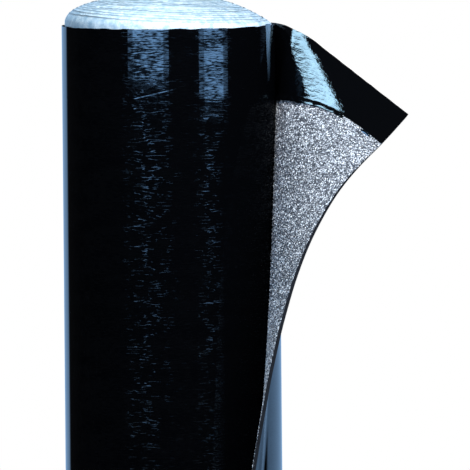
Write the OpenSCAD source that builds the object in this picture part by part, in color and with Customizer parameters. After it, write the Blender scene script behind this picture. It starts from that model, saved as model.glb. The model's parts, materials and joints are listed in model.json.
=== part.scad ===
// Roll of mineral-faced roofing felt standing on its end.
// The sheet is wound on itself without a tube. The top corner of its free end is turned out,
// so that the granule face and the bare strip along the edge show.
// Z runs up the middle of the roll and the floor is at zero. The front is towards -Y.
// Lengths are in millimetres.

/* [Sheet] */
// width of the sheet, which is the height of the outermost turn
sheet_width = 1000; // [600:10:1300]
// thickness of the sheet with its granules
sheet_thick = 3.8; // [2.5:0.1:5]
// width of the strip along the top edge that carries no granules
selvedge_width = 80; // [40:5:140]
// how much thinner the sheet is on that strip
selvedge_step = 0.8; // [0.2:0.1:1.5]

/* [Roll] */
// diameter of the open eye in the middle
eye_d = 76; // [50:1:110]
// full turns under the loose one
turns = 19; // [8:1:26]
// air between one turn and the next
turn_gap = 0.3; // [0.1:0.05:0.6]
// how far the middle of the top end would stand above the outermost turn
crown_rise = 33; // [5:1:60]
// fullness of that crown: 2 is an ellipse, more is flatter in the middle
crown_power = 2.4; // [1.5:0.1:4]
// half the width of the groove between two turns, on the bottom end
groove_half = 0.6; // [0.2:0.1:1.2]
// depth of that groove
groove_depth = 0.9; // [0.3:0.1:2]

/* [Loose end] */
// direction in which the end of the sheet lies at the floor
end_angle = -76; // [-85:1:-40]
// length of the lip that stands free at the floor
lip_len = 15; // [8:1:40]
// direction in which the sheet would leave the roll at its top edge if the corner were not folded
peel_angle = 2.5; // [-20:0.5:8]
// angle by which the sheet opens outward after it leaves the roll
peel_turn = 27; // [15:1:60]
// length of sheet over which it opens
peel_run = 12; // [6:1:60]
// direction in which the folded corner leaves the roll at the top edge
ear_angle = 34; // [15:1:60]
// distance down the end of the sheet at which the fold of the corner runs out
ear_drop = 476; // [300:1:600]
// length along the top edge, from the corner, that stays flat
ear_flat = 124; // [40:1:170]
// length down the end, from the corner, that stays flat
ear_flat_height = 90; // [40:1:160]
// lean of the axis of the fold from upright
ear_lean = 50.8; // [30:0.1:60]
// angle by which the corner is folded out
ear_turn = 104.6; // [40:0.1:120]
// shortest length of sheet over which it may be folded
fold_run = 20; // [10:1:60]
// how far the free sheet reaches into the turn that it carries on
root_len = 4; // [2:0.5:10]

/* [Hidden] */
$fn = 128;

turn_pitch = sheet_thick + turn_gap;
// the roll is a spiral of half turns about two centres: half 0 is on the left, half 1 on the right
half_shift = turn_pitch / 4;
eye_r = eye_d / 2;
// the loose turn starts at this radius, and the free sheet leaves most of the gap on its inner side
loose_in = turn_r(turns, 1);
loose_mid = loose_in + turn_pitch / 2;
free_r = loose_mid + turn_gap / 3;
bottom_z = turn_gap / 2;
top_z = sheet_width - turn_gap / 2;
// length of sheet for one degree of the loose turn
arc = PI / 180 * loose_mid;
// the sheet leaves the roll along a slanting plane, which meets the floor a little before the end
stuck_angle = end_angle + lip_len / arc;
peel_mid = (peel_angle + stuck_angle) / 2;
peel_half = (peel_angle - stuck_angle) / 2;
// the folded corner leaves along a second plane, drawn over this much of the height
ear_cut = 0.4 * ear_drop;
ear_half = (ear_angle - end_angle) * ear_cut / ear_drop / 2;
ear_mid = ear_angle - ear_half;
// the turns inside this radius stand proud of the others at the top end
crown_r = loose_mid - 1.25 * turn_pitch;
bare_z = top_z - selvedge_width;
fold_z = min(top_z - 1.5 * selvedge_width, top_z - 0.8 * ear_drop);
columns = 32;

// half h of turn k starts at this radius
function turn_r(k, h) = eye_r + (k + h / 2) * turn_pitch;
// the inner turns stand proud of the outer ones
function rise(r) = crown_rise * pow(max(0, 1 - pow(r / crown_r, crown_power)), 1 / crown_power);
function turn_top(k, h) = sheet_width + rise(turn_r(k, h) + turn_pitch / 2);
// profile of one half: each turn ends flat at its own height above, with a groove between the turns below
function half_profile(h) = let (n = turns + 1) concat(
    [[0, 0]],
    [for (k = [1 : n - 1]) each [
        [turn_r(k, h) - groove_half, 0],
        [turn_r(k, h), groove_depth],
        [turn_r(k, h) + groove_half, 0]]],
    [[turn_r(n, h), 0]],
    [for (k = [n - 1 : -1 : 1]) each [
        [turn_r(k + 1, h), turn_top(k, h)],
        [turn_r(k, h), turn_top(k, h)]]],
    [[turn_r(1, h), turn_top(0, h)], [0, turn_top(0, h)]]);

module half(h) {
    translate([0, (1 - 2 * h) * half_shift, 0])
        rotate([0, 0, 90 - 180 * h])
            rotate_extrude(angle = 180)
                polygon(half_profile(h));
}

// the stretch of the last turn that has left the roll
module left_off() {
    translate([0, -half_shift, 0])
        intersection() {
            rotate([0, 0, -90])
                rotate_extrude(angle = 180)
                    translate([loose_in, 0])
                        square([2 * turn_pitch, sheet_width]);
            union() {
                beyond(peel_mid, peel_half, sheet_width / 2, sheet_width);
                beyond(ear_mid, ear_half, sheet_width - ear_cut / 2, ear_cut);
            }
        }
}
// all that lies on the end's side of a plane that rises by one height while it turns by two half angles
module beyond(mid, half, z, height) {
    rotate([0, 0, mid])
        translate([0, 0, z])
            rotate([-atan(2 * loose_mid * sin(half) / height), 0, 0])
                translate([0, -2 * sheet_width, -sheet_width])
                    cube(2 * sheet_width);
}
// where that plane cuts the loose turn at height v, as a distance from the end of the sheet
function cut_line(v, mid, half, z, height) =
    arc * (mid + asin(min(1, max(-1, 2 * (v - z) / height * sin(half)))) - end_angle);
function peel_line(v) = cut_line(v, peel_mid, peel_half, sheet_width / 2, sheet_width);
function ear_line(v) = cut_line(v, ear_mid, ear_half, sheet_width - ear_cut / 2, ear_cut);
function leave_line(v) = max(peel_line(v), ear_line(v));

function ease(x) = let (c = min(1, max(0, x))) c * c * (3 - 2 * c);
// direction of the outward normal before the corner is folded, at distance s from the end and height v
function heading(s, v) = let (p = peel_line(v))
    end_angle + max(s, p) / arc + peel_turn * ease((p - s) / peel_run);
// fold of the corner: it starts on one slanting line and is complete on another
function fold_from(v) = arc * (ear_angle - end_angle) * (1 - (sheet_width - v) / ear_drop);
function fold_to(v) = ear_flat * (1 - (sheet_width - v) / ear_flat_height);
function fold(s, v) = ear_turn * ease((fold_from(v) - s) / max(fold_run, fold_from(v) - fold_to(v)));
function along(h) = [sin(h), -cos(h), 0];
function outward(h) = [cos(h), sin(h), 0];
function on_fold(h) = [0, 0, cos(ear_lean)] - sin(ear_lean) * along(h);
function off_fold(h) = [0, 0, sin(ear_lean)] + cos(ear_lean) * along(h);
// direction of the sheet towards its end, and its outer normal
function reach(s, v) = let (h = heading(s, v), f = fold(s, v))
    cos(ear_lean) * (cos(f) * off_fold(h) + sin(f) * outward(h)) - sin(ear_lean) * on_fold(h);
function normal(s, v) = let (h = heading(s, v), f = fold(s, v))
    cos(f) * outward(h) - sin(f) * off_fold(h);

// one row of the sheet at height v, from inside the lap to the end
function station(i, v) = (leave_line(v) + root_len) * (1 - i / columns);
function root(v) = free_r * outward(end_angle + station(0, v) / arc) + [0, 0, v];
function middle(v) = let (ds = station(0, v) / columns)
    [for (i = 0, p = root(v); i <= columns; p = p + ds * reach(station(i + 0.5, v), v), i = i + 1) p];
function outer_row(v) = let (m = middle(v))
    [for (i = [0 : columns]) m[i] + sheet_thick / 2 * normal(station(i, v), v)];
function inner_row(v, thick) = let (m = middle(v))
    [for (i = [0 : columns]) m[i] - (thick - sheet_thick / 2) * normal(station(i, v), v)];

// heights of the rows with the thickness there, and a double row at the edge of the bare strip
function span(a, b, n) = [for (i = [0 : n - 1]) a + (b - a) * i / n];
rows = concat(
    [for (v = span(bottom_z, fold_z, 20)) [v, sheet_thick]],
    [for (v = span(fold_z, bare_z, 18)) [v, sheet_thick]],
    [[bare_z, sheet_thick]],
    [for (v = span(bare_z + selvedge_step, top_z, 6)) [v, sheet_thick - selvedge_step]],
    [[top_z, sheet_thick - selvedge_step]]);

// the free end of the sheet, which leaves the roll along a slanting line and folds out at the corner
module loose_end() {
    n = columns + 1;
    m = len(rows);
    b = n * m;
    points = concat([for (r = rows) each outer_row(r[0])], [for (r = rows) each inner_row(r[0], r[1])]);
    faces = concat(
        [for (j = [0 : m - 2], i = [0 : columns - 1]) each let (a = j * n + i)
            [[a, a + 1, a + n], [a + 1, a + n + 1, a + n]]],
        [for (j = [0 : m - 2], i = [0 : columns - 1]) each let (a = b + j * n + i)
            [[a, a + n, a + 1], [a + 1, a + n, a + n + 1]]],
        [for (i = [0 : columns - 1]) each [[i + 1, i, b + i], [i + 1, b + i, b + i + 1]]],
        [for (i = [0 : columns - 1]) each let (a = (m - 1) * n + i)
            [[a, a + 1, b + a], [a + 1, b + a + 1, b + a]]],
        [for (j = [0 : m - 2]) each let (a = j * n) [[a, a + n, b + a], [a + n, b + a + n, b + a]]],
        [for (j = [0 : m - 2]) each let (a = j * n + columns)
            [[a + n, a, b + a], [a + n, b + a, b + a + n]]]);
    translate([0, -half_shift, 0]) polyhedron(points, faces);
}

module felt_roll() {
    color("#2a2c30")
        difference() {
            union() {
                difference() {
                    for (h = [0, 1]) half(h);
                    left_off();
                }
                loose_end();
            }
            translate([0, 0, -crown_rise]) cylinder(h = sheet_width + 3 * crown_rise, r = eye_r);
        }
}

felt_roll();
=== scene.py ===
"""Looks of a standing roll of roofing felt whose free end is folded out at the top corner."""
import json
import math

import bpy
import numpy as np
from mathutils import Euler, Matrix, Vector


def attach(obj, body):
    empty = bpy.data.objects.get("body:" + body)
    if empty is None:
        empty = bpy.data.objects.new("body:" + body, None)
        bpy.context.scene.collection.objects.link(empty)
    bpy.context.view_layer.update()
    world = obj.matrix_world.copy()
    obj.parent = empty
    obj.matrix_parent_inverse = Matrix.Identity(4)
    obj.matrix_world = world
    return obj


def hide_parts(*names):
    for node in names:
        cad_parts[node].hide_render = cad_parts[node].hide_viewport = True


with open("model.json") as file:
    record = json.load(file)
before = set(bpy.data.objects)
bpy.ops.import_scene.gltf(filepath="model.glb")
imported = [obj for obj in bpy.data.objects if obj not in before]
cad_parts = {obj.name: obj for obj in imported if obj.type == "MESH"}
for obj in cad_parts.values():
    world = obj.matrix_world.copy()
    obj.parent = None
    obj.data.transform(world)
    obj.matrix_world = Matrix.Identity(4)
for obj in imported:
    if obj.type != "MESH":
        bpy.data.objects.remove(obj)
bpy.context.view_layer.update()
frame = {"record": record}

# One millimetre in the scene's metres
MM = 0.001
# A little, to stay clear of a limit
HAIR = 0.001

# The sheet and the roll, as in the solid, in millimetres and degrees
MOUNTS = {mount["name"]: mount for mount in frame["record"]["mounts"]}
EYE_R = MOUNTS["eye"]["dims"]["r_mm"]
WIDTH = 1000.0
THICK = 3.8
GAP = 0.3
PITCH = THICK + GAP
TURNS = 19
BARE = 80.0
BARE_STEP = 0.8
CROWN = 33.0
HALF_SHIFT = PITCH / 4
LOOSE_MID = EYE_R + (TURNS + 1) * PITCH
ARC = math.radians(LOOSE_MID)
TOP_Z = WIDTH - GAP / 2
BARE_Z = TOP_Z - BARE

# The loose end, as in the solid
END_ANGLE = -76.0
LIP = 15.0
PEEL_ANGLE = 2.5
PEEL_TURN = 27.0
PEEL_RUN = 12.0
EAR_ANGLE = 34.0
EAR_DROP = 476.0
EAR_FLAT = 124.0
EAR_FLAT_DROP = 90.0
EAR_LEAN = 50.8
EAR_TURN = 104.6
EAR_CUT = 0.4 * EAR_DROP
SHORTEST_FOLD = 20.0
ROOT = 4.0

# How finely the outer turn is drawn, and the direction at which it hands over to the inner turns
FREE_COLUMNS = 110
WOUND_COLUMNS = 170
LOW_ROWS = 40
FOLD_ROWS = 84
BARE_ROWS = 20
FOLD_LOW = 540.0
BACK_ANGLE = 400.0
# Columns next to the roll that the strip and the granules leave out
ROOT_COLUMNS = 4

# Length over which the free sheet gains its waves, and depth to which its top edge is ragged
WAVE_RUN = 60.0
RAGGED_DEPTH = 8.0

# The inner turns: step between stations, direction of the last one, in the eye, and rounding of the edges
INNER_STEP = 4.0
LAST_ANGLE = 180 * (2 * TURNS + 2) - 90.0
EDGE_ROUND = 0.5
# Their height coordinate also runs across the edge, stretched by this
EDGE_STRETCH = 2

# The crown starts inside the outer turn. It is full on the left and slopes more on the right.
CROWN_R = LOOSE_MID - 1.25 * PITCH
CROWN_SHIFT = 1.0
CROWN_POWER = 2.4
CROWN_FALL = 0.7
CROWN_LEAN = 0.3

# Pale film over the edge of each turn
LINER_START = 445.0
LINER_STATIONS = 2800
LINER_THICK = 0.25
LINER_OVER = 2.0
# Its profile: distance from the middle of the turn and height over the crown
LINER_PROFILE = (
    (2.5, -7.0), (2.3, -0.5), (1.6, 0.0), (0.6, 0.1), (-0.5, 0.2), (-1.4, 0.3), (-2.2, 0.5), (-2.9, 0.8))
# Painted shade in the slot beside it, across that profile
LINER_SLOT_SHADE_SPAN = (-2.9, -1.3)

# A tail of that film hangs down over the side of the roll
TAIL_ANGLE = 339.5
TAIL_FOOT = 938.0
TAIL_HALF = 8.0
TAIL_FOOT_SHARE = 0.35
TAIL_CLEAR = 0.1
TAIL_BULGE = 1.2
TAIL_STATIONS = 40
TAIL_PLACES = 9

# Film on the bare strip, and where along the sheet its lower edge lifts off the granules
STRIP_ROWS = 40
STRIP_OVERLAP = 5.0
STRIP_SHORT = 0.8
STRIP_THICK = 0.2
STRIP_CLEAR = 0.25
STRIP_LIFT = 2.7
STRIP_LIFT_FROM = 40.0
STRIP_LIFT_RUN = 50.0
# Its lower edge is loose from a little above the granules, and fully so this much further down
STRIP_LOOSE_FROM = 3.0
STRIP_LOOSE_RUN = 7.0

# Granules that stand out of the granule face: their number, their stretch of the sheet and their seat
GRAIN_COUNT = 20000
GRAIN_ROWS = 500
GRAIN_LOW = 20.0
GRAIN_MARGIN = 1.5
GRAIN_SEAT = 0.1
# Their size, and what they reach outward, inward and to the sides as shares of it
GRAIN_SIZE = (0.55, 1.25)
GRAIN_OUT = 0.8
GRAIN_IN = 0.5
GRAIN_LONG = (0.7, 1.1)
GRAIN_WIDE = (0.6, 1.1)

# Directions on the roll between which its film changes
LAP_SHADE = (299, 307)
CRINKLED = (196, 214)
LEFT_CRINKLES = ((243, 249), (258, 265))
RIGHT_CRINKLES = (281, 286)
# The shade beside the lap leans by some degrees below these heights
LAP_HEIGHTS = (880, 920)
LAP_LEAN = 7
LAP_GLOSS = 0.03

# Creases in the film: distance from the end of the sheet and height, from one end to the other
CREASES = (((588.0, 992.4), (675.0, 993.3)), ((684.0, 922.9), (752.0, 938.8)))
CREASE_HEIGHT = 0.12

# Dust on the bottom end, which fades between these distances across the edge, as stretched there
DUST_SPAN = (2.0, 2.9)

# Colours
BLACK_FILM = (0.0008, 0.0009, 0.0012, 1)
FILM_TINT = (0.72, 0.88, 1.0, 1)
BITUMEN = (0.025, 0.026, 0.03, 1)
EDGE_TONES = ((0.004, 0.004, 0.005, 1), (0.02, 0.02, 0.022, 1))
DUST = (0.26, 0.25, 0.24, 1)
LINER_TONES = ((0.32, 0.42, 0.49, 1), (0.66, 0.70, 0.71, 1))
# Painted highlight along the liner's folds
LINER_FOLD_HIGHLIGHT = (0.86, 0.90, 0.92, 1)
LINER_THIN = (0.17, 0.23, 0.27, 1)
# Painted shade for the slot between turns
LINER_SLOT_SHADE = (0.03, 0.04, 0.05, 1)
TAIL_TONES = ((0.002, 0.003, 0.004, 1), (0.12, 0.20, 0.28, 1))
FLOOR_TONES = ((0.56, 0.56, 0.56, 1), (0.60, 0.60, 0.60, 1))
GRANULE_TONES = (
    (0.0, (0.027, 0.026, 0.03, 1)),
    (0.35, (0.125, 0.12, 0.128, 1)),
    (0.6, (0.33, 0.317, 0.33, 1)),
    (0.82, (0.64, 0.615, 0.61, 1)),
    (1.0, (0.95, 0.92, 0.89, 1)),
)

# Softboxes in front: name, directions from straight ahead, height of the lower edge in metres, and watts
SOFTBOXES = (("left_softbox", -41, -3, 0.881, 15), ("right_softbox", 34, 62, 0.858, 10.5))
SOFTBOX_DISTANCE = 1.5
SOFTBOX_TOP = 1.74
SOFTBOX_COLOR = (0.36, 0.62, 1.0)
# Their parts: name, distance behind the front, degrees added on each side, and share of the light
SOFTBOX_PARTS = (("core", 0.0, -3.0, 0.55), ("rim", 0.04, 3.0, 0.45))
OVERHEAD_PLACE = (-0.15, -0.28, 2.3)
OVERHEAD_SIZE = (1.4, 0.64)
OVERHEAD_POWER = 23
OVERHEAD_COLOR = (0.62, 0.86, 1.0)
FILL_PLACE = (0.4, -1.0, 1.65)
FILL_AIM = (0.2, 0, 0.9)
FILL_SIZE = (1.0, 0.6)
FILL_POWER = 26
FILL_COLOR = (0.94, 0.97, 1.0)

# World: the sweep behind the roll, its turn to the side, and its edges as a cosine and a height
SWEEP_COLOR = (0.36, 0.62, 1.0, 1)
SWEEP_TURN = math.radians(13)
SWEEP_SIDE = (0.64, 0.72)
SWEEP_TOP = (0.5, 0.40)
ROOM_COLOR = (0.011, 0.011, 0.012, 1)
AROUND_COLOR = (0.07, 0.072, 0.076, 1)
BACKDROP_COLOR = (1, 1, 1, 1)

# Floor, in metres
FLOOR_RADIUS = 3.0
FLOOR_DROP = 0.0005

# The photograph's view, in metres and degrees, with the sensor in millimetres
FRAME_WIDTH = 0.524
VIEW_RISE = 3.0
VIEW_ROLL = -0.5
VIEW_DISTANCE = 20.0
VIEW_END = 100
AIM = Vector((0.0714, 0.0, 0.7648))
SENSOR = 36.0

# Order of the materials on the sheet
FILM, GRANULES, EDGE, STRIP = range(4)
# Faces that meet at more than this are drawn with a sharp edge
SHARP_ANGLE = math.radians(50)


def sind(angle):
    return np.sin(np.radians(angle))


def cosd(angle):
    return np.cos(np.radians(angle))


def ease(x):
    c = np.clip(x, 0, 1)
    return c * c * (3 - 2 * c)


def ripple(rng, s, v, long, tall, height, count=7):
    """Smooth random waves about this long and tall, over distances s and heights v."""
    total = np.zeros_like(np.asarray(s, float) + np.asarray(v, float))
    for _ in range(count):
        turn_s = rng.normal(0, 2 * math.pi / long)
        turn_v = rng.normal(0, 2 * math.pi / tall)
        total = total + np.sin(turn_s * s + turn_v * v + rng.uniform(0, 2 * math.pi))
    return height * total / math.sqrt(count)


def ripple_along(rng, s, long, height):
    """The same waves along the sheet alone."""
    return ripple(rng, s, 0 * s, long, WIDTH, height)


# Shape of the loose end: s is the distance from the end of the sheet and v the height
def cut_line(v, low, high, z, height):
    """Where a slanting plane cuts the loose turn: it turns from low to high within a height around z."""
    middle, half = (low + high) / 2, (high - low) / 2
    turned = np.degrees(np.arcsin(np.clip(2 * (v - z) / height * sind(half), -1, 1)))
    return ARC * (middle + turned - END_ANGLE)


def peel_line(v):
    """Where the sheet would leave the roll if its corner were not folded."""
    return cut_line(v, END_ANGLE + LIP / ARC, PEEL_ANGLE, WIDTH / 2, WIDTH)


def leave_line(v):
    """Where the sheet leaves the roll."""
    low = EAR_ANGLE - (EAR_ANGLE - END_ANGLE) * EAR_CUT / EAR_DROP
    return np.maximum(peel_line(v), cut_line(v, low, EAR_ANGLE, WIDTH - EAR_CUT / 2, EAR_CUT))


def sheet_frame(s, v):
    """Direction of the sheet towards its end, and its outer normal."""
    peel = peel_line(v)
    heading = END_ANGLE + np.maximum(s, peel) / ARC + PEEL_TURN * ease((peel - s) / PEEL_RUN)
    fold_from = ARC * (EAR_ANGLE - END_ANGLE) * (1 - (WIDTH - v) / EAR_DROP)
    fold_to = EAR_FLAT * (1 - (WIDTH - v) / EAR_FLAT_DROP)
    fold = EAR_TURN * ease((fold_from - s) / np.maximum(SHORTEST_FOLD, fold_from - fold_to))
    flat = np.zeros_like(heading)
    along = np.stack([sind(heading), -cosd(heading), flat], -1)
    outward = np.stack([cosd(heading), sind(heading), flat], -1)
    up = np.array([0.0, 0.0, 1.0])
    on_fold = cosd(EAR_LEAN) * up - sind(EAR_LEAN) * along
    off_fold = sind(EAR_LEAN) * up + cosd(EAR_LEAN) * along
    cos_fold, sin_fold = cosd(fold)[..., None], sind(fold)[..., None]
    reach = cosd(EAR_LEAN) * (cos_fold * off_fold + sin_fold * outward) - sind(EAR_LEAN) * on_fold
    return reach, cos_fold * outward - sin_fold * off_fold


def wound(angle, v):
    """Middle of the wound sheet and its outer normal. The angle counts on, turn by turn, from the end."""
    half = np.floor((angle + 90) / 180)
    radius = LOOSE_MID - half * PITCH / 2
    shift = np.where(half % 2 == 0, -HALF_SHIFT, HALF_SHIFT)
    flat = np.zeros_like(angle)
    normal = np.stack([cosd(angle), sind(angle), flat], -1)
    point = radius[..., None] * normal + np.stack([flat, shift, flat], -1)
    point[..., 2] = v
    return point, normal


def spiral(angle):
    """Middle and outer normal of the wound sheet, its distance from the end and its mean radius there."""
    point, normal = wound(angle, 0.0)
    return point, normal, ARC * (angle - END_ANGLE), LOOSE_MID - (angle + 90) / 180 * PITCH / 2


def loose_grid(v):
    """Distances from the end, middle points and outer normals of the loose turn, a row for each v."""
    v = v[:, None]
    root = leave_line(v) + ROOT
    free = root * np.linspace(0, 1, FREE_COLUMNS + 1)
    reach, _ = sheet_frame((free[:, 1:] + free[:, :-1]) / 2, v)
    _, free_normal = sheet_frame(free, v)
    step = (root / FREE_COLUMNS)[..., None] * reach
    start, _ = wound(END_ANGLE + root / ARC, v)
    run = np.cumsum(step[:, ::-1], axis=1)[:, ::-1]
    free_point = np.concatenate([start + run, start], axis=1)
    back = ARC * (BACK_ANGLE - END_ANGLE)
    stuck = root + (back - root) * np.linspace(0, 1, WOUND_COLUMNS + 1)[1:]
    stuck_point, stuck_normal = wound(END_ANGLE + stuck / ARC, v)
    s = np.concatenate([free, stuck], axis=1)
    return (s, np.concatenate([free_point, stuck_point], axis=1),
            np.concatenate([free_normal, stuck_normal], axis=1))


def crown(radius, angle):
    """Height of the inner turns above the outer one."""
    share = np.clip(radius / (CROWN_R - CROWN_SHIFT * cosd(angle)), 0, 1)
    return CROWN * (1 - share ** CROWN_POWER) ** (CROWN_FALL + CROWN_LEAN * cosd(angle))


# Making pieces
def make_piece(name, points, faces, coords, materials, face_material):
    """A piece from points in millimetres, with the sheet's own distances as its coordinates."""
    mesh = bpy.data.meshes.new(name)
    mesh.from_pydata((np.asarray(points) * MM).tolist(), [], np.asarray(faces).tolist())
    corners = np.empty(len(mesh.loops), dtype=np.int32)
    mesh.loops.foreach_get("vertex_index", corners)
    layer = mesh.uv_layers.new(name="sheet")
    layer.data.foreach_set("uv", (np.asarray(coords)[corners] * MM).astype(np.float32).ravel())
    for material in materials:
        mesh.materials.append(material)
    mesh.polygons.foreach_set("material_index", np.asarray(face_material, dtype=np.int32))
    mesh.shade_smooth()
    mesh.set_sharp_from_angle(angle=SHARP_ANGLE)
    mesh.validate()
    piece = bpy.data.objects.new(name, mesh)
    bpy.context.scene.collection.objects.link(piece)
    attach(piece, "root")
    return piece


def ribbon(name, points, coords, materials, side_material, cap_material):
    """A closed solid swept through stations, each of which is a closed ring of points."""
    stations, ring = points.shape[:2]
    index = np.arange(stations * ring).reshape(stations, ring)
    following = np.roll(index, -1, axis=1)
    sides = np.stack([index[:-1], following[:-1], following[1:], index[1:]], -1)
    caps = []
    for loop in (index[0][::-1], index[-1]):
        for j in range(ring // 2 - 1):
            caps.append([loop[j], loop[j + 1], loop[ring - 2 - j], loop[ring - 1 - j]])
    faces = sides.reshape(-1, 4).tolist() + caps
    kinds = np.tile(np.asarray(side_material), stations - 1).tolist() + [cap_material] * len(caps)
    return make_piece(name, points.reshape(-1, 3), faces, coords.reshape(-1, 2), materials, kinds)


def rings_of(front, back):
    """Rings that run through the rows of one face and return through those of the other."""
    return np.concatenate([front, back[::-1]], axis=0).transpose(1, 0, 2)


def film_ribbon(name, front, back, coords, material):
    """A ribbon of one material between two faces with the same coordinates, given row by row."""
    rings = rings_of(front, back)
    ribbon(name, rings, rings_of(coords, coords), [material], [0] * rings.shape[1], 0)


# Materials
class Graph:
    """Short ways to add and join the nodes of a material or a world."""

    def __init__(self, tree):
        self.nodes = tree.nodes
        self.links = tree.links

    def add(self, kind, inputs=None, **settings):
        node = self.nodes.new("ShaderNode" + kind)
        for key, value in settings.items():
            setattr(node, key, value)
        for key, value in (inputs or {}).items():
            self.put(node.inputs[key], value)
        return node

    def put(self, socket, value):
        if isinstance(value, bpy.types.NodeSocket):
            self.links.new(value, socket)
        else:
            socket.default_value = value

    def math(self, operation, first, second=0.0):
        node = self.add("Math", operation=operation)
        self.put(node.inputs[0], first)
        self.put(node.inputs[1], second)
        return node.outputs[0]

    def spread(self, value, low, high, to_low=0.0, to_high=1.0, **settings):
        return self.add("MapRange", {"Value": value, "From Min": low, "From Max": high,
                                     "To Min": to_low, "To Max": to_high}, **settings).outputs[0]

    def blend(self, factor, first, second):
        """A mix of two colours, whose sockets on this node are known by number only."""
        node = self.add("Mix", {"Factor": factor, 6: first, 7: second}, data_type="RGBA")
        return node.outputs[2]


class Shader(Graph):
    """A node material around one principled surface."""

    def __init__(self, name, settings):
        self.material = bpy.data.materials.new(name)
        self.material.use_nodes = True
        super().__init__(self.material.node_tree)
        self.surface = self.nodes["Principled BSDF"]
        for socket, value in settings.items():
            self.paint(socket, value)

    def paint(self, socket, value):
        self.put(self.surface.inputs[socket], value)

    def sheet_coords(self, long, tall):
        """The sheet's own coordinates, counted in steps this long and tall, in millimetres."""
        coords = self.add("UVMap", uv_map="sheet").outputs[0]
        scale = (1 / (long * MM), 1 / (tall * MM), 1.0)
        return self.add("Mapping", {"Vector": coords, "Scale": scale}).outputs[0]

    def sheet_place(self, long=1.0):
        """Distance along the sheet, in steps this long, and height on it, both in millimetres."""
        return self.add("SeparateXYZ", {"Vector": self.sheet_coords(long, 1.0)}).outputs[:2]

    def wound_angle(self):
        """Direction of the place on the roll, counted on along the sheet from its end."""
        return self.math("ADD", self.sheet_place(ARC)[0], END_ANGLE)

    def crease_line(self, start, end, half=0.8, fade=9.0):
        """A narrow ridge along a straight line on the sheet, fading out at both ends."""
        run = Vector(end) - Vector(start)
        length = run.length
        run = run / length
        s, v = (self.math("SUBTRACT", place, origin) for place, origin in zip(self.sheet_place(), start))
        along = self.math("ADD", self.math("MULTIPLY", s, run[0]), self.math("MULTIPLY", v, run[1]))
        aside = self.math("SUBTRACT", self.math("MULTIPLY", v, run[0]), self.math("MULTIPLY", s, run[1]))
        ridge = self.spread(self.math("ABSOLUTE", aside), 0.0, half, 1.0, 0.0)
        begin = self.spread(along, 0.0, fade)
        finish = self.spread(along, length - fade, length, 1.0, 0.0)
        return self.math("MULTIPLY", ridge, self.math("MULTIPLY", begin, finish))

    def noise(self, long, tall, detail, roughness=0.5):
        """Noise on the sheet, in grains this long and tall in millimetres."""
        where = self.sheet_coords(long, tall)
        return self.add("TexNoise", {"Vector": where, "Scale": 1.0, "Detail": detail,
                                     "Roughness": roughness}).outputs["Fac"]

    def space_noise(self, size, detail, roughness=0.5):
        """Noise that runs on across neighbouring turns, in grains of this size in millimetres."""
        where = self.add("TexCoord").outputs["Object"]
        return self.add("TexNoise", {"Vector": where, "Scale": 1 / (size * MM), "Detail": detail,
                                     "Roughness": roughness}).outputs["Fac"]

    def granule_color(self, tone):
        """Colour of a granule for a tone from dark to pale."""
        ramp = self.add("ValToRGB", {"Fac": tone})
        elements = ramp.color_ramp.elements
        while len(elements) < len(GRANULE_TONES):
            elements.new(0.5)
        for element, (place, color) in zip(elements, GRANULE_TONES):
            element.position = place
            element.color = color
        return ramp.outputs["Color"]

    def bump(self, layers):
        """Stacks reliefs, each a height and its size in millimetres, and puts them on the surface."""
        normal = None
        for height, size in layers:
            node = self.add("Bump", {"Height": height, "Distance": size * MM, "Strength": 1.0})
            if normal is not None:
                self.links.new(normal, node.inputs["Normal"])
            normal = node.outputs[0]
        self.paint("Normal", normal)


def film_material(name, settings, gloss, crease, fine, grain, calm):
    """Thin glossy black film with short level streaks, and crinkles in two upright strips.

    gloss is that of dull and of bright streaks, and grain their length and height. crease is the height
    of a crinkle and fine that of a streak. calm is the share of both on the smooth side of the roll."""
    shader = Shader(name, settings)
    place = shader.wound_angle()
    crinkled = shader.spread(place, *CRINKLED, calm, 1.0)

    # Gloss, which the lap shades
    streak = shader.noise(*grain, 3.0, 0.6)
    patchy = shader.noise(55, 16, 2.0)
    shine = shader.math("ADD", streak, shader.spread(patchy, 0.3, 0.7, -0.09, 0.09))
    dull = shader.spread(shine, 0.44, 0.58, *gloss)
    level = shader.add("Mix", {"Factor": crinkled, "A": gloss[1], "B": dull}).outputs[0]
    leaning = shader.spread(shader.sheet_place()[1], *LAP_HEIGHTS, LAP_LEAN, 0)
    covered = shader.spread(shader.math("ADD", place, leaning), *LAP_SHADE, 1.0, LAP_GLOSS)
    shader.paint("Specular IOR Level", shader.math("MULTIPLY", level, covered))
    shader.paint("Roughness", shader.spread(patchy, 0.35, 0.7, 0.03, 0.05))

    # Crinkles
    folded = shader.math("ABSOLUTE", shader.math("SUBTRACT", shader.noise(24, 4.0, 1.0), 0.5))
    ridge = shader.math("POWER", shader.spread(folded, 0.0, 0.02, 1.0, 0.0), 2.0)
    sparse = shader.spread(shader.noise(13, 9, 1.0), 0.45, 0.56)
    begin, finish = LEFT_CRINKLES
    left = shader.math("MULTIPLY", shader.spread(place, *begin, 0.1, 1.0),
                       shader.spread(place, *finish, 1.0, 0.35))
    strips = shader.math("MAXIMUM", left, shader.spread(place, *RIGHT_CRINKLES))
    crinkle = shader.math("MULTIPLY", shader.math("MULTIPLY", ridge, sparse),
                          shader.math("MULTIPLY", crinkled, strips))
    reliefs = [
        (shader.noise(140, 40, 1.0), 0.02),
        (crinkle, crease),
        (shader.math("MULTIPLY", streak, crinkled), fine)]
    shader.bump(reliefs + [(shader.crease_line(*line), CREASE_HEIGHT) for line in CREASES])
    return shader.material


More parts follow.
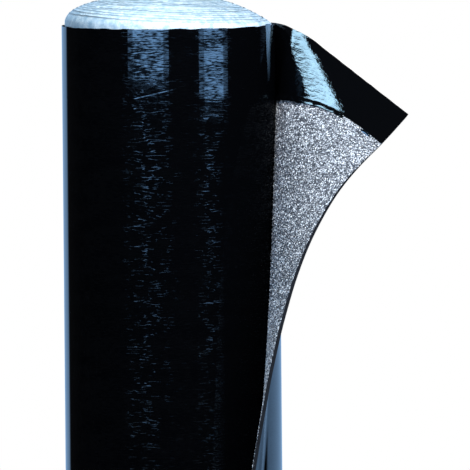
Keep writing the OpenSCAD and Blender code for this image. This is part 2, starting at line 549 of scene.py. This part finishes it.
def granule_material():
    """The face in which the granules are bedded: grains of many greys with dark bitumen between."""
    shader = Shader("bedded_granules", {"Roughness": 0.72, "Specular IOR Level": 0.35})
    cells = shader.add("TexVoronoi", {"Vector": shader.sheet_coords(1.5, 1.5), "Scale": 1.0})
    tone = shader.add("SeparateColor", {"Color": cells.outputs["Color"]}).outputs[0]
    between = shader.spread(cells.outputs["Distance"], 0.35, 0.62, 0.0, 0.8)
    patchy = shader.spread(shader.noise(60, 60, 3.0), 0.35, 0.7, 0.0, 0.25)
    sunk = shader.math("MAXIMUM", between, patchy)
    shader.paint("Base Color", shader.blend(sunk, shader.granule_color(tone), BITUMEN))
    dome = shader.math("SUBTRACT", 1.0, cells.outputs["Distance"])
    shader.bump([(dome, 0.5)])
    return shader.material


def grain_material():
    """Granules that stand out, each with a tone of its own."""
    shader = Shader("standing_granules", {"Roughness": 0.6, "Specular IOR Level": 0.4})
    tone = shader.add("Attribute", attribute_name="tone").outputs["Fac"]
    speck = shader.spread(shader.noise(0.5, 0.5, 1.0), 0.3, 0.7, -0.08, 0.08)
    shader.paint("Base Color", shader.granule_color(shader.math("ADD", tone, speck)))
    return shader.material


def edge_material():
    """Cut edge of the sheet: dull bitumen, dragged by the knife, and dusty where it stands on the floor."""
    shader = Shader("cut_edge", {"Specular IOR Level": 0.12})
    drag = shader.noise(2.2, 9.0, 3.0)
    patchy = shader.spread(shader.noise(70, 1000, 2.0), 0.3, 0.7, 0.35, 1.0)
    standing = shader.spread(shader.math("ABSOLUTE", shader.sheet_place()[1]), *DUST_SPAN, 1.0, 0.0)
    dust = shader.math("MULTIPLY", standing, patchy)
    shader.paint("Base Color", shader.blend(dust, shader.blend(drag, *EDGE_TONES), DUST))
    shader.paint("Roughness", shader.spread(drag, 0.3, 0.7, 0.55, 0.85))
    shader.bump([(drag, 0.4)])
    return shader.material


def liner_material():
    """Pale thin film over the edge of each turn: fine folds with painted highlights along them, a tone by
    turns and painted shade in the slot between turns.
    """
    shader = Shader("pale_liner", {"Specular IOR Level": 0.5, "Roughness": 0.3})
    cloud = shader.spread(shader.space_noise(9, 4.0, 0.7), 0.38, 0.62)
    ridge = shader.math("ABSOLUTE", shader.math("SUBTRACT", shader.space_noise(14, 2.0), 0.5))
    fold = shader.spread(ridge, 0.0, 0.02, 0.4, 0.0)
    # Painted highlight: pale lines along the folds
    folded = shader.blend(fold, shader.blend(cloud, *LINER_TONES), LINER_FOLD_HIGHLIGHT)
    by_turn = shader.spread(shader.noise(240, 1000, 1.0), 0.38, 0.62)
    toned = shader.blend(shader.math("MULTIPLY", by_turn, 0.45), folded, LINER_THIN)
    across = shader.sheet_place()[1]
    # Painted shade: darker in the slot between the turns
    slot_shade = shader.math("MULTIPLY", shader.spread(across, *LINER_SLOT_SHADE_SPAN, 1.0, 0.0),
                       shader.spread(by_turn, 0.0, 1.0, 0.5, 0.95))
    shader.paint("Base Color", shader.blend(slot_shade, toned, LINER_SLOT_SHADE))
    shader.bump([(shader.space_noise(8, 3.0, 0.6), 0.7), (fold, 0.4)])
    return shader.material


def tail_material():
    """The same film where it clings to the black roll, pale at the top and darker towards the bottom."""
    shader = Shader("clinging_liner", {"Specular IOR Level": 0.6, "Roughness": 0.25})
    pale = shader.math("POWER", shader.spread(shader.sheet_place()[1], TAIL_FOOT, WIDTH), 1.3)
    veil = shader.spread(shader.noise(1.5, 12, 2.0), 0.3, 0.7, 0.6, 1.0)
    shader.paint("Base Color", shader.blend(shader.math("MULTIPLY", pale, veil), *TAIL_TONES))
    return shader.material


# The outer turn with its loose end
def build_outer_turn(materials):
    rng = np.random.default_rng(11)
    rows = np.concatenate([
        np.linspace(GAP / 2, FOLD_LOW, LOW_ROWS, endpoint=False),
        np.linspace(FOLD_LOW, BARE_Z, FOLD_ROWS),
        np.linspace(BARE_Z + BARE_STEP, TOP_Z, BARE_ROWS)])
    s, middle, normal = loose_grid(rows)
    v = np.broadcast_to(rows[:, None], s.shape)
    wave = ripple(rng, s, v, long=160, tall=60, height=0.01)
    slack = ripple(rng, s, v, long=90, tall=80, height=0.15)
    wave = wave + ease((leave_line(v) - s) / WAVE_RUN) * slack
    ragged = ripple_along(rng, s, long=26, height=0.35)
    middle = middle + wave[..., None] * normal
    middle[..., 2] += ragged * ease((v - TOP_Z + RAGGED_DEPTH) / RAGGED_DEPTH)
    inner_depth = np.where(v > BARE_Z + BARE_STEP / 2, THICK / 2 - BARE_STEP, THICK / 2)
    outer = middle + THICK / 2 * normal
    inner = middle - inner_depth[..., None] * normal
    rings = rings_of(outer, inner)
    coords = np.stack([s, v], -1)
    sides = [FILM] * (len(rows) - 1) + [EDGE]
    sides += [STRIP] * (BARE_ROWS - 1) + [GRANULES] * (len(rows) - BARE_ROWS) + [EDGE]
    piece = ribbon("outer_turn", rings, rings_of(coords, coords), materials, sides, EDGE)
    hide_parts("felt_roll")


# The turns inside it, whose edges show on both ends
def build_inner_turns(materials):
    rng = np.random.default_rng(12)
    last = LAST_ANGLE - HAIR
    angle = np.linspace(BACK_ANGLE, last, int((last - BACK_ANGLE) / INNER_STEP))
    point, normal, s, radius = spiral(angle)
    ragged = ripple_along(rng, s, long=40, height=0.2)
    top = WIDTH + crown(radius + THICK / 2, angle) - LINER_OVER + ragged
    half, thin = THICK / 2, THICK / 2 - BARE_STEP
    foot = np.zeros_like(top)
    profile = [
        (half, foot + EDGE_ROUND), (half, top - EDGE_ROUND), (half - EDGE_ROUND, top),
        (EDGE_ROUND - thin, top), (-thin, top - EDGE_ROUND), (-thin, top - BARE),
        (-half, top - BARE - BARE_STEP), (-half, foot + EDGE_ROUND),
        (EDGE_ROUND - half, foot), (half - EDGE_ROUND, foot)]
    rings = []
    coords = []
    for offset, height in profile:
        ring = point + offset * normal
        ring[:, 2] = height
        rings.append(ring)
        coords.append(np.stack([s, height + EDGE_STRETCH * offset], -1))
    sides = [FILM, EDGE, EDGE, EDGE, STRIP, STRIP, GRANULES, EDGE, EDGE, EDGE]
    ribbon("inner_turns", np.stack(rings, 1), np.stack(coords, 1), materials, sides, EDGE)


# Pale film that stands out of every turn and lies over its edge
def build_liner(material):
    rng = np.random.default_rng(13)
    angle = np.linspace(LINER_START, LAST_ANGLE, LINER_STATIONS)
    point, normal, s, radius = spiral(angle)
    sway = ripple_along(rng, s, long=22, height=0.15)
    lift = ripple_along(rng, s, long=30, height=0.35)
    outer = []
    inner = []
    coords = []
    for offset, over in LINER_PROFILE:
        ring = point + (offset + sway)[:, None] * normal
        ring[:, 2] = WIDTH + crown(radius + offset, angle) + over + lift
        outer.append(ring)
        inner.append(ring - [0, 0, LINER_THICK])
        coords.append(np.stack([s, np.full_like(s, offset)], -1))
    film_ribbon("pale_liner", outer, inner, coords, material)


# The tail of that film
def build_liner_tail(material):
    rng = np.random.default_rng(16)
    v = np.linspace(TAIL_FOOT, WIDTH + LINER_OVER, TAIL_STATIONS)
    share = np.linspace(0, 1, TAIL_STATIONS)
    half = TAIL_HALF * (TAIL_FOOT_SHARE + (1 - TAIL_FOOT_SHARE) * share)
    sway = ripple(rng, 0 * v, v, long=WIDTH, tall=40, height=0.4)
    outer = []
    inner = []
    coords = []
    for place in np.linspace(-1, 1, TAIL_PLACES):
        middle, normal = wound(TAIL_ANGLE + (sway + place * half) / ARC, v)
        over = THICK / 2 + TAIL_CLEAR + TAIL_BULGE * share * (1 - place ** 2)
        inner.append(middle + over[:, None] * normal)
        outer.append(middle + (over + LINER_THICK)[:, None] * normal)
        coords.append(np.stack([place * half, v], -1))
    film_ribbon("liner_tail", outer, inner, coords, material)


# Film on the bare strip, whose lower edge has lifted off the granules
def build_edge_strip(material):
    rng = np.random.default_rng(14)
    rows = np.linspace(BARE_Z - STRIP_OVERLAP, TOP_Z - STRIP_SHORT, STRIP_ROWS)
    s, middle, normal = (grid[:, 1:FREE_COLUMNS - ROOT_COLUMNS] for grid in loose_grid(rows))
    v = np.broadcast_to(rows[:, None], s.shape)
    rising = ease((s - STRIP_LIFT_FROM) / STRIP_LIFT_RUN)
    lifted = rising * (STRIP_LIFT + np.abs(ripple_along(rng, s, long=50, height=0.9)))
    loose = ease((BARE_Z + STRIP_LOOSE_FROM - v) / STRIP_LOOSE_RUN)
    over = STRIP_CLEAR + loose * lifted + ripple(rng, s, v, long=30, tall=40, height=0.12)
    near = middle - (THICK / 2 - BARE_STEP + over)[..., None] * normal
    far = near - STRIP_THICK * normal
    near[..., 2] += ripple_along(rng, s, long=30, height=1.0) * loose
    film_ribbon("edge_strip", near, far, np.stack([s, v], -1), material)


# Granules that stand out of the granule face
def build_granules(material):
    rng = np.random.default_rng(15)
    each = (GRAIN_COUNT, 1)
    rows = np.linspace(GRAIN_LOW, BARE_Z - GRAIN_MARGIN, GRAIN_ROWS)
    s, middle, normal = (grid[:, :FREE_COLUMNS - ROOT_COLUMNS] for grid in loose_grid(rows))
    length = s[:-1, -1]
    row = rng.choice(len(length), GRAIN_COUNT, p=length / length.sum())
    place = rng.uniform(0, s.shape[1] - 1 - HAIR, GRAIN_COUNT)
    column = place.astype(int)
    share, rise = (place - column)[:, None], rng.uniform(0, 1, each)

    def sample(grid):
        low = grid[row, column] * (1 - share) + grid[row, column + 1] * share
        high = grid[row + 1, column] * (1 - share) + grid[row + 1, column + 1] * share
        return low * (1 - rise) + high * rise

    out = -sample(normal)
    out = out / np.linalg.norm(out, axis=1, keepdims=True)
    centre = sample(middle) + (THICK / 2 + GRAIN_SEAT) * out
    side = np.cross(out, rng.normal(size=(GRAIN_COUNT, 3)))
    side = side / np.linalg.norm(side, axis=1, keepdims=True)
    other = np.cross(out, side)
    size = rng.uniform(*GRAIN_SIZE, each)
    corners = [
        centre + GRAIN_OUT * size * out,
        centre - GRAIN_IN * size * out,
        centre + size * side,
        centre + size * rng.uniform(*GRAIN_WIDE, each) * other,
        centre - size * rng.uniform(*GRAIN_LONG, each) * side,
        centre - size * rng.uniform(*GRAIN_WIDE, each) * other]
    points = np.stack(corners, 1).reshape(-1, 3)
    shape = np.array([
        [0, 2, 3], [0, 3, 4], [0, 4, 5], [0, 5, 2],
        [1, 3, 2], [1, 4, 3], [1, 5, 4], [1, 2, 5]])
    faces = (np.arange(GRAIN_COUNT)[:, None, None] * len(corners) + shape).reshape(-1, 3)
    coords = np.stack([points[:, 0] + points[:, 1], points[:, 2]], -1)
    piece = make_piece("granules", points, faces, coords, [material], [0] * len(faces))
    piece.data.shade_flat()
    tones = np.repeat(rng.uniform(0, 1, GRAIN_COUNT), len(corners)).astype(np.float32)
    piece.data.attributes.new("tone", "FLOAT", "POINT").data.foreach_set("value", tones)


# Light, floor and camera
def area_light(name, place, aim, size, power, color):
    data = bpy.data.lights.new(name, "AREA")
    data.shape = "RECTANGLE"
    data.size, data.size_y = size
    data.energy = power
    data.color = color
    light = bpy.data.objects.new(name, data)
    light.location = place
    light.rotation_euler = (Vector(aim) - Vector(place)).to_track_quat("-Z", "Y").to_euler()
    light.visible_camera = False
    bpy.context.scene.collection.objects.link(light)
    return light


def front_softbox(name, near, far, low, power):
    """A softbox in front of the roll between two directions, counted from straight ahead to the right.

    It is made of a narrower core and a wider rim behind it, which softens its upright edges."""
    middle, half = math.radians((near + far) / 2), math.radians((far - near) / 2)
    aim = Vector((0, 0, (low + SOFTBOX_TOP) / 2))
    for part, behind, wider, share in SOFTBOX_PARTS:
        place = aim + (SOFTBOX_DISTANCE + behind) * Vector((math.sin(middle), -math.cos(middle), 0))
        scale = math.tan(half + math.radians(wider)) / math.tan(half)
        size = (2 * SOFTBOX_DISTANCE * math.tan(half) * scale, SOFTBOX_TOP - low)
        area_light(f"{name}_{part}", place, aim, size, power * share * scale, SOFTBOX_COLOR)


def build_lights():
    for softbox in SOFTBOXES:
        front_softbox(*softbox)
    below = (*OVERHEAD_PLACE[:2], 0)
    area_light("overhead_softbox", OVERHEAD_PLACE, below, OVERHEAD_SIZE, OVERHEAD_POWER, OVERHEAD_COLOR)
    fill = area_light("front_fill", FILL_PLACE, FILL_AIM, FILL_SIZE, FILL_POWER, FILL_COLOR)
    fill.visible_glossy = False


def build_world():
    """White to the camera and dim grey to all that isn't mirrored.

    Reflections see a pale blue sweep behind the roll and a darker room elsewhere."""
    world = bpy.data.worlds.new("studio")
    bpy.context.scene.world = world
    world.use_nodes = True
    graph = Graph(world.node_tree)
    x, y, z = graph.add("SeparateXYZ", {"Vector": graph.add("TexCoord").outputs["Generated"]}).outputs
    level = graph.math("SQRT", graph.math("ADD", graph.math("POWER", x, 2.0), graph.math("POWER", y, 2.0)))
    facing = graph.math("ADD", graph.math("MULTIPLY", x, math.sin(SWEEP_TURN)),
                        graph.math("MULTIPLY", y, math.cos(SWEEP_TURN)))
    cosine = graph.math("DIVIDE", facing, graph.math("MAXIMUM", level, HAIR))
    behind, low = (graph.spread(value, *limits, interpolation_type="SMOOTHSTEP")
                   for value, limits in ((cosine, SWEEP_SIDE), (z, SWEEP_TOP)))
    room = graph.blend(graph.math("MULTIPLY", behind, low), ROOM_COLOR, SWEEP_COLOR)
    rays = graph.add("LightPath").outputs
    mirrored = graph.math("MAXIMUM", rays["Is Glossy Ray"], rays["Is Transmission Ray"])
    lit = graph.blend(mirrored, AROUND_COLOR, room)
    seen = graph.blend(rays["Is Camera Ray"], lit, BACKDROP_COLOR)
    graph.put(graph.nodes["Background"].inputs["Color"], seen)


def build_floor():
    shader = Shader("pale_floor", {"Roughness": 0.9, "Specular IOR Level": 0.2})
    speck = shader.add("TexNoise", {"Scale": 40.0, "Detail": 3.0}).outputs["Fac"]
    shader.paint("Base Color", shader.blend(speck, *FLOOR_TONES))
    bpy.ops.mesh.primitive_circle_add(vertices=96, radius=FLOOR_RADIUS, fill_type="NGON",
                                      location=(0, 0, -FLOOR_DROP))
    floor = bpy.context.object
    floor.name = "floor"
    floor.data.materials.append(shader.material)


def build_camera():
    rise = math.radians(VIEW_RISE)
    data = bpy.data.cameras.new("camera")
    data.sensor_width = SENSOR
    data.lens = SENSOR * VIEW_DISTANCE / FRAME_WIDTH
    data.clip_end = VIEW_END
    camera = bpy.data.objects.new("camera", data)
    camera.location = AIM + VIEW_DISTANCE * Vector((0, -math.cos(rise), math.sin(rise)))
    camera.rotation_euler = Euler((math.pi / 2 - rise, 0, 0))
    camera.rotation_euler.rotate_axis("Z", math.radians(VIEW_ROLL))
    bpy.context.scene.collection.objects.link(camera)
    bpy.context.scene.camera = camera


def build_roll():
    black = {"Base Color": BLACK_FILM, "Specular Tint": FILM_TINT}
    film = film_material("crinkled_film", black, gloss=(0.02, 1.0), crease=0.075, fine=0.0012,
                         grain=(9, 1.5), calm=0.15)
    strip = film_material("edge_film", {**black, "IOR": 1.68}, gloss=(0.85, 1.0), crease=0.02, fine=0.6,
                          grain=(8, 5.0), calm=1.0)
    sheet = [film, granule_material(), edge_material(), strip]
    build_outer_turn(sheet)
    build_inner_turns(sheet)
    build_liner(liner_material())
    build_liner_tail(tail_material())
    build_edge_strip(strip)
    build_granules(grain_material())


bpy.context.scene.view_settings.view_transform = "Standard"
build_camera()
build_world()
build_lights()
build_floor()
build_roll()
